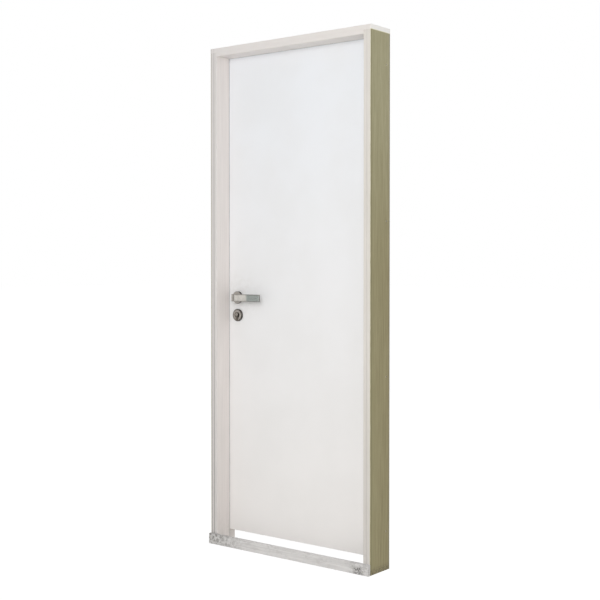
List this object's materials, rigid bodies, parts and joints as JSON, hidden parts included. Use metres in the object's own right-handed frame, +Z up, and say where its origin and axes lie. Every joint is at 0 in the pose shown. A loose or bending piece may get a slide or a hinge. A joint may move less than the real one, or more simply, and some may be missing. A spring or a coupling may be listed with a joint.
{
  "type": "flush wooden door with frame",
  "caption": "Flush door leaf hung in a deep rebated wooden frame, with lever handle, mortise lock, lift-off hinges and a batten across the feet.",
  "frame": {"origin": "middle of the whole footprint, batten to rear lever, on the plane of the feet", "axes": "+X towards the hinges, +Y from the front face to the back, +Z up"},
  "size_m": [0.82, 0.197, 2.09],
  "materials": {
    "frame_paint": "satin white paint, bare wood on the outer sides",
    "batten_wood": "rough sawn, greyed and painted over thinly",
    "seal": "grey soft seal",
    "leaf_paint": "smooth white satin paint",
    "inner_wood": "raw wood and tubular board",
    "satin_steel": "satin brushed",
    "hinge_steel": "satin zinc",
    "cylinder_nickel": "matt nickel",
    "lock_steel": "zinc plated",
    "base_plastic": "matt",
    "washer_brass": "plain",
    "screw_steel": "zinc plated"
  },
  "bodies": {
    "frame": {"jamb_lock_side": "frame_paint", "jamb_hinge_side": "frame_paint", "frame_head": "frame_paint", "stop_lock_side": "frame_paint", "stop_hinge_side": "frame_paint", "stop_head": "frame_paint", "head_screws": "screw_steel", "foot_batten": "batten_wood", "batten_nails": "screw_steel", "seal_lock_side": "seal", "seal_hinge_side": "seal", "seal_head": "seal", "strike_plate": "satin_steel", "strike_screws": "screw_steel", "hinge_frame_half_bottom": "hinge_steel", "hinge_frame_half_middle": "hinge_steel", "hinge_frame_half_top": "hinge_steel", "hinge_pins": "hinge_steel", "hinge_washers": "washer_brass", "hinge_screws_frame": "screw_steel"},
    "door_leaf": {"cylinder_body": "cylinder_nickel", "cylinder_screw": "screw_steel", "forend_screws": "screw_steel", "hinge_leaf_half_bottom": "hinge_steel", "hinge_leaf_half_middle": "hinge_steel", "hinge_leaf_half_top": "hinge_steel", "hinge_screws_leaf": "screw_steel", "key_rose_base_back": "base_plastic", "key_rose_base_front": "base_plastic", "key_rose_cover_back": "satin_steel", "key_rose_cover_front": "satin_steel", "key_rose_screws": "screw_steel", "latch_spring": "lock_steel", "leaf_core": "inner_wood", "leaf_skin_back": "leaf_paint", "leaf_skin_front": "leaf_paint", "lock_block": "inner_wood", "lock_case": "lock_steel", "lock_cover": "lock_steel", "lock_cover_screws": "screw_steel", "lock_forend": "satin_steel", "rail_bottom": "leaf_paint", "rail_top": "leaf_paint", "rose_base_back": "base_plastic", "rose_base_front": "base_plastic", "rose_cover_back": "satin_steel", "rose_cover_front": "satin_steel", "rose_screws": "screw_steel", "stile_hinge_side": "leaf_paint", "stile_lock_side": "leaf_paint"},
    "handle": {"lever_front": "satin_steel", "lever_back": "satin_steel", "grub_screws": "screw_steel", "spindle": "lock_steel", "follower": "lock_steel"},
    "latch": {"latch_bolt": "lock_steel"},
    "deadbolt": {"deadbolt": "lock_steel"},
    "key_core": {"key_plug_front": "cylinder_nickel", "key_plug_back": "cylinder_nickel", "key_cam": "lock_steel"}
  },
  "joints": [
    {"name": "leaf_swing", "type": "hinge", "parent": "frame", "child": "door_leaf", "pos_m": [0.3905, 0.0545, 1], "axis": [0, 0, -1], "range_deg": [0, 170]},
    {"name": "lever_turn", "type": "hinge", "parent": "door_leaf", "child": "handle", "pos_m": [-0.329, 0.0225, 1.042], "axis": [0, 1, 0], "range_deg": [0, 40], "stiffness_Nm_per_rad": 1.5, "springref_deg": -40.11},
    {"name": "latch_slide", "type": "slide", "parent": "door_leaf", "child": "latch", "axis": [1, 0, 0], "range_m": [0, 0.011], "deforming": ["latch_spring"]},
    {"name": "key_turn", "type": "hinge", "parent": "door_leaf", "child": "key_core", "pos_m": [-0.329, 0.0225, 0.97], "axis": [0, -1, 0], "range_deg": [0, 360]},
    {"name": "deadbolt_slide", "type": "slide", "parent": "door_leaf", "child": "deadbolt", "axis": [-1, 0, 0], "range_m": [0, 0.014]}
  ],
  "couplings": [
    {"joint": "latch_slide", "follows": "lever_turn", "m_per_rad": 0.015756},
    {"joint": "key_turn", "follows": "deadbolt_slide", "rad_per_m": 448.8}
  ]
}
